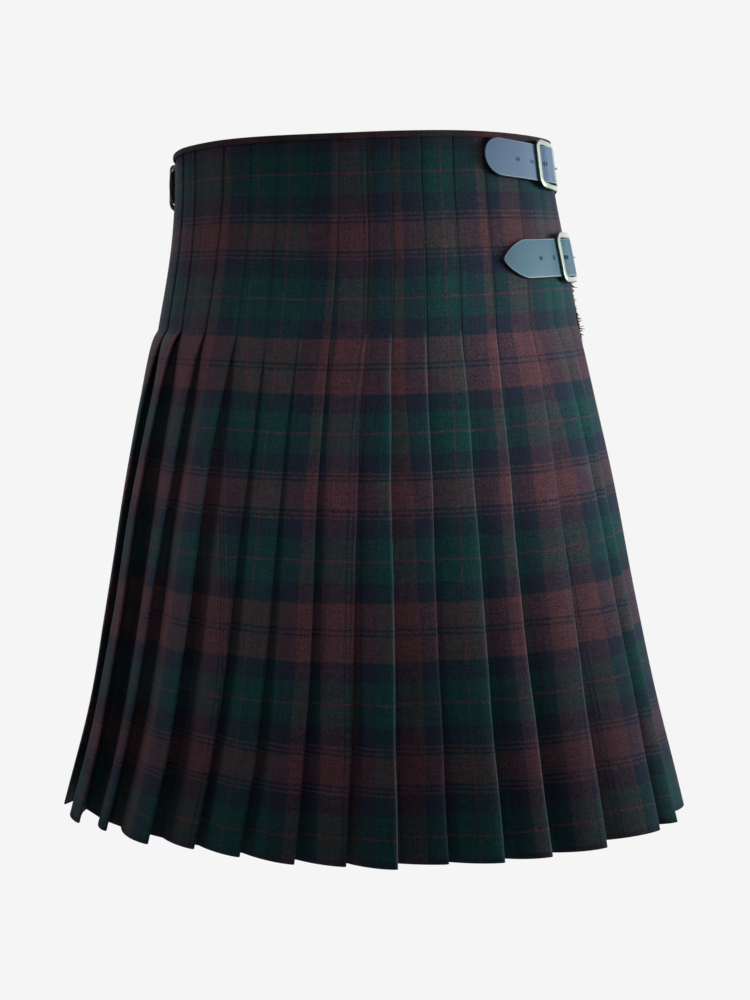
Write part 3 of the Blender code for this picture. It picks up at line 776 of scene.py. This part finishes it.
def build_cloth():
    back = [pleat_row(along) for along in row_lengths(BACK_ROWS)]
    outer = []
    for along in row_lengths(OUTER_GRID[0]):
        last = 360 + angle_at(LEFT_SEAM, along)
        last -= gap_angle(last, along, SEAM_GAP)
        first = angle_at(OUTER_EDGE, along)
        outer.append(apron_row(along, first, last, OUTER_GRID[1], outer_out, OUTER_SETT))
    inner = []
    for along in row_lengths(INNER_GRID[0]):
        first = angle_at(RIGHT_SEAM, along)
        first += gap_angle(first, along, SEAM_GAP)
        last = angle_at(INNER_EDGE, along)
        inner.append(apron_row(along, first, last, INNER_GRID[1], lambda *_: 0, INNER_SETT))
    made = {}
    for name, rows in (("pleated_back", back), ("outer_apron", outer), ("inner_apron", inner)):
        made[name] = make_shell(name + "_cloth", rows, TARTAN)
    paint_fold_shade(made["pleated_back"], back)
    return made


BAND_HEIGHT = 6
BAND_WALL = 1
BAND_END = 89
BAND_STEPS = 240
# The band's outline: out from its inner side (0) or the cloth's face (1), how far, the share of
# the puff, how far down, and the tartan's place. Its length is measured along one corner.
BAND_ROWS = (
    (0, 0, 0, 0.35, 16), (0, 0.5, 0, 0, 15), (1, 0.5, 0, 0, 13), (1, 1, 0, 0.4, 12.6),
    (1, 1.25, 1, 1.7, 11), (1, 1.3, 1, 3.2, 9), (1, 1.15, 0, 4.8, 7), (1, 0.9, 0, 5.7, 5.6),
    (1, 0.5, 0, 6, 5), (1, 0, 0, 5.7, 5), (1, 0, 0, 1, 12), (0, 0, 0, 1, 15),
)
BAND_CORNER = 4


def build_waistband():
    """A narrow binding, folded over the cloth's top edge, with a soft rounded upper fold."""
    inner = -WALL / 2 - LAYER_GAP
    corners = len(BAND_ROWS)
    points = []
    setts = [0]
    for step in range(BAND_STEPS + 1):
        degrees = mix(BAND_END, OUTER_EDGE["waist"] - 360, step / BAND_STEPS)
        face = stack_out(degrees) + SEAM_GAP
        puff = 0.12 * wave(5, step * 7, 160)
        for side, out, puffed, down, _ in BAND_ROWS:
            points.append(form_point(degrees, down, (face if side else inner) + out + puffed * puff))
        if step > 0:
            here = step * corners + BAND_CORNER
            setts.append(setts[-1] + math.dist(points[here - corners][:2], points[here][:2]) / SETT_UNIT)
    faces = ring_faces(BAND_STEPS + 1, corners)
    marks = [row[-1] for row in BAND_ROWS]
    uvs = []
    for sett, next_sett in zip(setts, setts[1:]):
        for mark, following in zip(marks, marks[1:] + marks[:1]):
            uvs += [(sett, mark), (sett, following), (next_sett, following), (next_sett, mark)]
    uvs += [(0, 10)] * (2 * corners)
    return new_solid("waistband_binding", points, faces, [BAND], (-2, -1), uvs)


# ---- straps and buckles
STRAP_WIDTH = 35.2
STRAP_WALL = 2.2
STRAP_SPANS = 14            # from one bevel to the other
STRAP_STEP = 1.6            # the most from one ring of points to the next
BEVEL = 0.45
UNDER_BEVEL = 0.2
CROWN = 0.12
RIM_HIGHLIGHT_WIDTH = 0.7                   # the width of the painted highlight along the edge of a strap
TIP_SHARES = (0.004, 0.015, 0.035, 0.065, 0.11, 0.17, 0.25, 0.35, 0.47, 0.6, 0.74, 0.88)
HOLE_RADIUS = 1.7
HOLE_COUNT = 3
HOLE_SIDES = 20
HOLE_EDGE_RADIUS = 0.35
HOLE_DEPTH = 0.3
PRONG_HOLE = 87.1
PRONG_HOLE_STRETCH = 2.1    # how much longer the prong's hole is to either side
BAR_HALF_WIDTH = 2.6
BAR_HALF_WALL = 1.15
BAR_SQUARENESS = 0.6
FRAME_HEIGHT = 46.5
FRAME_CORNER = 6
CENTRE_BAR_RADIUS = 1.2
PRONG_RADIUS = 0.9
# The prong past its loop: how far ahead of its hole and how far below its rest on the far bar.
PRONG_ROWS = ((-1.8, 3.3), (2.2, 0.6), (5.4, 0.1), (8, 0), (9.8, 0.05), (10.2, 0.1))
PRONG_TIP = (0.8, 0.4)      # the shares of its radius at the last two of these
TAB_WALL = 1.2
TAB_WIDTH = 24
TAB_SLOT = 6
TAB_START = 44
EAR_INSET = 0.15
LEFT_BAR = 62
CENTRE_BAR = 81
RIGHT_BAR = 96
CENTRE_BAR_HEIGHT = 3.1
BAR_CLEARANCE = 0.6
OFF_BAND_RUN = 30
SLIT_RUN = 9
SLIT_DEPTH = -1.1

STITCH_LENGTH = 2.2
STITCH_PITCH = 3.2
STITCH_COUNT = 9
STITCH_RADIUS = 0.28
STITCH_SQUARE = (33, 5)     # the sewn square's sides, from the strap's end
STITCH_REACH = 14           # from the strap's middle to the rows' ends
STITCH_SIDE = 14.2          # and to the rows that run along it
STITCH_ROWS = ((0, -0.25), (0.25, 0.18), (0.5, 0.26), (0.75, 0.18), (1, -0.25))

STRAP_RISE_ROWS = (
    (0, 2.8), (30, 2.4), (50, 3.2), (65, 3.3), (74, 6.8),
    (81, 8.1), (85.5, 6.8), (94.5, 1.6), (110, 1.4), (150, 1.4),
)
STRAP_COLUMNS = (
    "name", "tip", "level", "slope", "length", "tip_length", "tip_power", "band_end",
    "side", "cut_back", "first_hole", "hole_pitch",
)
STRAP_ROWS = (
    ("right_upper", 37.1, 21.6, 0.085, 141, 17, 2.1, 60, 1, 4.7, 33.5, 16.2),
    ("right_lower", 38.9, 115.3, 0, 136, 25, 1.45, -60, 1, -7, 41.7, 18),
    ("left", -90.5, 27.5, 0, 128, 17, 2.1, 200, -1, 48, -9.8, 18.5),
)
STRAPS = [dict(zip(STRAP_COLUMNS, row)) for row in STRAP_ROWS]


class StrapSeat:
    """Maps a place along a strap, a height across it and a rise off the cloth to a point."""

    def __init__(self, strap):
        self.strap = strap
        self.angles = []
        degrees = strap["tip"]
        for _ in range(int(strap["length"]) + 4):
            self.angles.append(degrees)
            degrees += strap["side"] * gap_angle(degrees, strap["level"], 1)

    def point(self, place, across, rise):
        index = min(max(place, 0), len(self.angles) - 1.001)
        low = int(index)
        degrees = mix(self.angles[low], self.angles[low + 1], index - low)
        off_band = smooth_step(place, self.strap["band_end"], self.strap["band_end"] + OFF_BAND_RUN)
        out = stack_out(degrees) + rise + (SEAM_GAP + BAND_WALL) * (1 - off_band)
        return form_point(degrees, self.strap["level"] + self.strap["slope"] * place - across, out)


def strap_rise(strap, place):
    if strap["side"] < 0 and place > strap["length"] - SLIT_RUN:
        share = smooth_step(place, strap["length"] - SLIT_RUN, strap["length"])
        return mix(STRAP_RISE_ROWS[-1][1], SLIT_DEPTH, share)
    full_place = place + strap["cut_back"]
    for (first, low), (second, high) in zip(STRAP_RISE_ROWS, STRAP_RISE_ROWS[1:]):
        if full_place <= second:
            return mix(low, high, smooth_step(full_place, first, second))
    return STRAP_RISE_ROWS[-1][1]


def strap_half_width(strap, place):
    share = min(1, place / strap["tip_length"])
    return STRAP_WIDTH / 2 * (1 - (1 - share) ** strap["tip_power"]) ** (1 / strap["tip_power"])


def cut_out(item, cutter):
    modifier = item.modifiers.new("cut", "BOOLEAN")
    modifier.operation = "DIFFERENCE"
    modifier.solver = "EXACT"
    modifier.object = cutter
    result = bpy.data.meshes.new_from_object(item.evaluated_get(bpy.context.evaluated_depsgraph_get()))
    item.modifiers.remove(modifier)
    old = item.data
    item.data = result
    result.name = old.name
    bpy.data.meshes.remove(old)
    bpy.data.objects.remove(cutter)


def strap_profile(half):
    """A strap's outline across, as (across, rise): over the crown, then back underneath."""
    side = half - min(BEVEL, half * 0.5)
    inside = max(side - RIM_HIGHLIGHT_WIDTH, side * 0.6)
    inner = [mix(-inside, inside, step / (STRAP_SPANS - 2)) for step in range(STRAP_SPANS - 1)]
    wall = STRAP_WALL / 2
    top = [(a, wall - CROWN * (a / max(half, 1)) ** 6) for a in (-side, *inner, side)]
    under = ((half, UNDER_BEVEL), (half - UNDER_BEVEL, 0), (0, 0))
    under += ((UNDER_BEVEL - half, 0), (-half, UNDER_BEVEL))
    profile = [(-half, wall - BEVEL), *top, (half, wall - BEVEL)]
    return profile + [(across, height - wall) for across, height in under]


def hole_cutter(seat, place, rise, stretch):
    points = []
    for reach in (-STRAP_WALL, STRAP_WALL):
        for shift, across in circle(0, 0, HOLE_RADIUS, HOLE_SIDES, 0.5):
            shift += math.copysign(stretch, shift)
            points.append(seat.point(place + shift, across, rise + reach))
    faces = ring_faces(2, HOLE_SIDES)
    every = range(len(faces))
    return new_solid("hole_cutter", points, faces, [LEATHER_EDGE] * 2, every, None, [1] * len(faces))


def hole_rim(seat, place, rise):
    """The dark edge pressed round a punched hole, and a pale plug in it that carries the rim's painted
    highlight.
    """
    spots = circle(place, 0, HOLE_RADIUS, HOLE_SIDES)
    centres = [seat.point(*spot, rise + STRAP_WALL / 2) for spot in spots]
    ring = tube("hole_edge", centres, HOLE_EDGE_RADIUS, LEATHER_EDGE, closed=True, sides=8)
    ends = [seat.point(place, 0, rise + height) for height in (0, STRAP_WALL / 2 - HOLE_DEPTH)]
    return [ring, tube("hole_floor", ends, HOLE_RADIUS - 0.3, LEATHER_RIM_HIGHLIGHT)]


def build_strap(seat):
    strap = seat.strap
    tip = strap["tip_length"]
    places = [tip * share for share in TIP_SHARES]
    count = math.ceil((strap["length"] - tip) / STRAP_STEP)
    places += [mix(tip, strap["length"], step / count) for step in range(count + 1)]
    points = []
    for place in places:
        rise = strap_rise(strap, place)
        profile = strap_profile(strap_half_width(strap, place))
        points += [seat.point(place, across, rise + height) for across, height in profile]
    ring = len(profile)
    faces = ring_faces(len(places), ring)
    slots = [1] * len(faces)
    flat = [-2, -1]
    for index in range(len(faces) - 2):
        column = index % ring
        # the outermost top facets take the rim's painted highlight
        if 1 <= column <= STRAP_SPANS:
            slots[index] = 2 if column in (1, STRAP_SPANS) else 0
        elif column >= STRAP_SPANS + 2:
            flat.append(index)
    # the strap's top takes the painted sheen colour; its sides and underside keep the black leather edge
    leather = PAINTED_TEAL_SHEEN_LEATHER if strap["name"] == "right_lower" else PAINTED_SLATE_SHEEN_LEATHER
    materials = [leather, LEATHER_EDGE, LEATHER_RIM_HIGHLIGHT]
    item = new_solid(strap["name"] + "_strap_leather", points, faces, materials, flat, None, slots)
    rims = []
    holes = [(strap["first_hole"] + number * strap["hole_pitch"], 0) for number in range(HOLE_COUNT)]
    for place, stretch in holes + [(PRONG_HOLE - strap["cut_back"], PRONG_HOLE_STRETCH)]:
        if place < tip / 2:
            continue
        rise = strap_rise(strap, place)
        cut_out(item, hole_cutter(seat, place, rise, stretch))
        if stretch == 0:
            rims += hole_rim(seat, place, rise)
    join([item] + rims)
    return item


def frame_outline():
    """The middle of a buckle's frame seen flat, as (place, across), with rounded corners."""
    across = FRAME_HEIGHT / 2 - BAR_HALF_WIDTH - FRAME_CORNER
    left, right = LEFT_BAR + FRAME_CORNER, RIGHT_BAR - FRAME_CORNER
    corners = ((right, across), (left, across), (left, -across), (right, -across))
    outline = []
    for number, corner in enumerate(corners):
        for step in range(9):
            outline.append(on_circle(*corner, FRAME_CORNER, 90 * (number + step / 8)))
        ahead = on_circle(*corners[(number + 1) % 4], FRAME_CORNER, 90 * (number + 1))
        for left_over in range(6, 1, -1):
            outline.append(tuple(mix(a, b, 1 / left_over) for a, b in zip(outline[-1], ahead)))
    return outline


def bar_rise(place):
    over = STRAP_WALL / 2 + BAR_CLEARANCE + BAR_HALF_WALL
    return over + mix(3.3, 1.6, (place - LEFT_BAR) / (RIGHT_BAR - LEFT_BAR))


def build_buckle(seat):
    name, cut = seat.strap["name"], seat.strap["cut_back"]
    centres = []
    ups = []
    for place, across in frame_outline():
        centre = Vector(seat.point(place - cut, across, bar_rise(place)))
        centres.append(centre)
        ups.append(Vector(seat.point(place - cut, across, bar_rise(place) + 1)) - centre)
    frame_piece = tube(
        name + "_buckle_frame", centres, BAR_HALF_WIDTH, STEEL,
        closed=True, sides=20, ups=ups, wall=BAR_HALF_WALL,
    )
    half = FRAME_HEIGHT / 2 - BAR_HALF_WIDTH
    low, high = CENTRE_BAR_HEIGHT, bar_rise(CENTRE_BAR) - BAR_HALF_WALL / 2
    ramp = [(1, high), (0.9, mix(high, low, 0.5)), (0.8, low)]
    route = [(-share, rise) for share, rise in ramp] + [(0, low)] + ramp[::-1]
    centres = [seat.point(CENTRE_BAR - cut, share * half, rise) for share, rise in route]
    join([frame_piece, tube("centre_bar", centres, CENTRE_BAR_RADIUS, STEEL, sides=12)])
    ring = CENTRE_BAR_RADIUS + SEAM_GAP + PRONG_RADIUS
    route = [on_circle(CENTRE_BAR, CENTRE_BAR_HEIGHT, ring, turn) for turn in range(-160, 21, 12)]
    rest = bar_rise(RIGHT_BAR) + BAR_HALF_WALL + SEAM_GAP + PRONG_RADIUS
    route += [(PRONG_HOLE + ahead, rest - drop) for ahead, drop in PRONG_ROWS]
    centres = [seat.point(place - cut, 0, rise) for place, rise in route]
    shares = [1] * (len(centres) - len(PRONG_TIP)) + list(PRONG_TIP)
    radii = [PRONG_RADIUS * share for share in shares]
    return frame_piece, tube(name + "_prong_pin", centres, radii, STEEL, sides=12)


def strip(name, seat, route, edges, wall):
    """A band of leather between two edges, along a route of (place, rise)."""
    shape = [mix(*edges, share) for share in (0, 0.12, 0.5, 0.88, 1)]
    points = []
    for index, (place, rise) in enumerate(route):
        before = Vector(route[max(index - 1, 0)])
        after = Vector(route[min(index + 1, len(route) - 1)])
        ahead = (after - before).normalized() * wall / 2
        place -= seat.strap["cut_back"]
        points += [seat.point(place - ahead.y, across, rise + ahead.x) for across in shape]
        points += [seat.point(place + ahead.y, across, rise - ahead.x) for across in shape[::-1]]
    faces = ring_faces(len(route), 2 * len(shape))
    return new_solid(name, points, faces, [PAINTED_SLATE_SHEEN_LEATHER], range(len(faces)))


def build_tab(seat):
    """The leather tab, whose two ears loop round the centre bar on either side of the prong."""
    low = SEAM_GAP + TAB_WALL / 2
    start = max(TAB_START, seat.strap["cut_back"] + 6)
    flat = [(mix(start, CENTRE_BAR - 3, step / 8), low) for step in range(9)]
    loop = [(CENTRE_BAR - 5, low)]
    for turn in range(-90, 181, 15):
        loop.append(on_circle(CENTRE_BAR, CENTRE_BAR_HEIGHT, CENTRE_BAR_RADIUS + low, turn))
    half, slot = TAB_WIDTH / 2, TAB_SLOT / 2
    pieces = [strip(seat.strap["name"] + "_tab_leather", seat, flat, (-half, half), TAB_WALL)]
    for edges in ((EAR_INSET - half, -slot), (slot, half - EAR_INSET)):
        pieces.append(strip("ear", seat, loop, edges, TAB_WALL - EAR_INSET))
    join(pieces)
    return pieces[0]


def build_stitches(seat):
    """A square of saddle stitches where the strap is sewn to the apron's edge."""
    strap = seat.strap
    near, far = (strap["length"] - inset for inset in STITCH_SQUARE)
    starts = [STITCH_PITCH * number for number in range(STITCH_COUNT)]
    stitches = []
    for place in (far, near):
        for start in starts:
            across = start - STITCH_REACH
            stitches.append((place, across, place, across + STITCH_LENGTH))
    for across in (-STITCH_SIDE, STITCH_SIDE):
        for start in starts:
            stitches.append((near + start, across, near + start + STITCH_LENGTH, across))
    pieces = []
    for first_place, first_across, last_place, last_across in stitches:
        centres = []
        for share, lift in STITCH_ROWS:
            place = mix(first_place, last_place, share)
            rise = strap_rise(strap, place) + STRAP_WALL / 2 + lift
            centres.append(seat.point(place, mix(first_across, last_across, share), rise))
        pieces.append(tube("stitch", centres, STITCH_RADIUS, STITCH, sides=6))
    join(pieces)
    pieces[0].name = strap["name"] + "_strap_stitches"
    return pieces[0]


# ---- fringe
FRINGE_CLUMPS = ((22, 8), (143, 4), (174, 4), (183, 4.5))  # where the fraying is thickest
FRINGE_SEGMENTS = 5
FRINGE_TAPER = 0.45


def build_fringe():
    """Frayed threads on the outer apron's free edge, in loose uneven tufts."""
    draw = random.Random(7)
    points = []
    faces = []
    along = TURN_DOWN + BAND_HEIGHT
    while along < CLOTH_LENGTH - 1:
        edge = angle_at(OUTER_EDGE, along)
        tuft = 0.5 + 0.5 * math.sin(along * 0.21 + 1.3 * math.sin(along * 0.047))
        length = 2.4 + 2.6 * tuft + draw.uniform(-0.6, 0.8)
        droop = draw.uniform(-1, 2.6)
        curl = draw.uniform(-1.2, 1.6)
        for place, reach in FRINGE_CLUMPS:
            near = math.exp(-(((along - place) / reach) ** 2))
            length += near * draw.uniform(1.5, 3.6)
            curl += near * draw.uniform(0.5, 4.5)
        radius = draw.uniform(0.34, 0.60)
        centres = []
        radii = []
        for step in range(FRINGE_SEGMENTS + 1):
            share = step / FRINGE_SEGMENTS
            degrees = edge - gap_angle(edge, along, SEAM_GAP * 0.2 + length * share)
            out = PITCH + curl * share * share + 0.4 * math.sin(3 * share + along)
            down = min(along + droop * share * share, CLOTH_LENGTH + 2)
            centres.append(form_point(degrees, down, out))
            radii.append(radius * (1 - FRINGE_TAPER * share))
        thread_points, thread_faces = rod(centres, radii, sides=4)
        faces += [tuple(len(points) + corner for corner in face) for face in thread_faces]
        points += thread_points
        along += draw.uniform(0.55, 1.05)
    return new_solid("apron_fringe_threads", points, faces, [FRINGE])


# ---- stage, light, camera
BACKGROUND = 0.913          # the world's strength as the camera sees it
AMBIENT = 0.11              # and as the cloth is lit by it
FLOOR_SIDES = 96
FLOOR_RINGS = ((845, -1080), (850, -1082), (850, -1100))  # radius and height


def build_world():
    world = bpy.data.worlds.new("studio")
    bpy.context.scene.world = world
    world.use_nodes = True
    tree = world.node_tree
    shade = tree.nodes["Background"]
    path = tree.nodes.new("ShaderNodeLightPath")
    mixer = tree.nodes.new("ShaderNodeMix")
    mixer.data_type = "FLOAT"
    mixer.inputs[2].default_value = AMBIENT
    mixer.inputs[3].default_value = BACKGROUND
    tree.links.new(path.outputs["Is Camera Ray"], mixer.inputs[0])
    tree.links.new(mixer.outputs[0], shade.inputs["Strength"])
    shade.inputs["Color"].default_value = (1, 1, 1, 1)


def build_floor():
    n = Nodes("studio_floor")
    stops = [(NOISE_LOW, (0.80, 0.80, 0.80, 1)), (NOISE_HIGH, (0.82, 0.82, 0.82, 1))]
    n.set(Base_Color=n.ramp(n.noise(n.place, 3), stops), Roughness=0.9)
    points = []
    for radius, height in FLOOR_RINGS:
        points += [(*spot, height) for spot in circle(0, 0, radius, FLOOR_SIDES)]
    faces = ring_faces(len(FLOOR_RINGS), FLOOR_SIDES)
    floor = new_solid("studio_floor", points, faces, [n.material], (-2, -1))


# Each light: its kind, name, place, target, power and colour, then a spot's cone in degrees and
# its radius, or an area's width and height.
LIGHT_ROWS = (
    ("SPOT", "spot_centre", (-0.25, 1.7, 0.7), (-0.01, 0.1, -0.26), 63, (0.91, 1, 1), 23, 0.25),
    ("SPOT", "spot_right", (-1.5, 0.9, 0.2), (-0.20, 0.1, -0.20), 115, (1, 1, 1), 16, 0.20),
    ("SPOT", "spot_fell", (-0.20, 1.7, 0.55), (-0.05, 0.13, -0.20), 15, (1, 1, 1), 13, 0.15),
    ("AREA", "side_right", (-1.6, 0.1, -0.1), (-0.1, 0.05, -0.25), 43, (0.88, 0.98, 1), 0.5, 0.9),
    ("SPOT", "spot_left", (1.5, 0.55, 0.05), (0.20, 0.04, -0.31), 25, (1, 1, 1), 23, 0.10),
    ("SPOT", "front_left", (0.9, 1.6, -0.1), (0.14, 0.1, -0.44), 4, (1, 1, 1), 26, 0.20),
    ("AREA", "side_left", (1.5, 0.8, 0.1), (0.1, 0.05, -0.25), 5, (1, 1, 1), 0.6, 1),
    ("AREA", "rim_left", (1.5, -0.45, 0.1), (0.15, 0.05, -0.25), 6, (1, 1, 1), 0.4, 1),
    ("AREA", "front_key", (0.8, -1.6, 0.9), (0, -0.1, -0.2), 30, (1, 1, 1), 1, 1),
    ("AREA", "front_fill", (-1.2, -1.4, 0.3), (0, -0.1, -0.3), 14, (1, 1, 1), 1.2, 1.2),
)


def build_lights():
    """Light falls from the right of the picture and above, and fades toward the hem."""
    for kind, name, place, target, power, colour, first, second in LIGHT_ROWS:
        data = bpy.data.lights.new(name, kind)
        data.energy = power
        data.color = colour
        if kind == "SPOT":
            data.spot_size = math.radians(first)
            data.spot_blend = 1
            data.shadow_soft_size = second
        else:
            data.shape = "RECTANGLE"
            data.size, data.size_y = first, second
        light = bpy.data.objects.new(name, data)
        light.location = place
        light.rotation_mode = "QUATERNION"
        light.rotation_quaternion = (Vector(target) - Vector(place)).to_track_quat("-Z", "Y")
        light.visible_camera = False
        bpy.context.scene.collection.objects.link(light)


def build_camera():
    data = bpy.data.cameras.new("camera")
    data.sensor_width = 36
    data.lens = 62.67
    data.shift_y = -0.105
    camera = bpy.data.objects.new("camera", data)
    camera.location = (-0.012, 1.6, -0.2244)
    camera.rotation_euler = (math.radians(90), 0, math.radians(180))
    bpy.context.scene.collection.objects.link(camera)
    bpy.context.scene.camera = camera
    bpy.context.scene.view_settings.view_transform = "Standard"


def declare(item, slot, *nodes):
    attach(item, "root")
    if nodes:
        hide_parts(*nodes)


build_camera()
cloth = build_cloth()
for name, sheet in cloth.items():
    declare(sheet, "tartan_cloth", name)
band = build_waistband()
declare(band, "waistband_cloth", "waistband")
fringe = build_fringe()
declare(fringe, "fringe_cloth", "apron_fringe")
for strap in STRAPS:
    seat = StrapSeat(strap)
    name = strap["name"]
    declare(build_strap(seat), "strap_leather", name + "_strap")
    frame_piece, prong = build_buckle(seat)
    declare(frame_piece, "buckle_steel", name + "_buckle")
    declare(prong, "buckle_steel", name + "_prong")
    declare(build_tab(seat), "strap_leather", name + "_tab")
    if strap["side"] > 0:
        declare(build_stitches(seat), "strap_leather")

build_world()
build_floor()
build_lights()
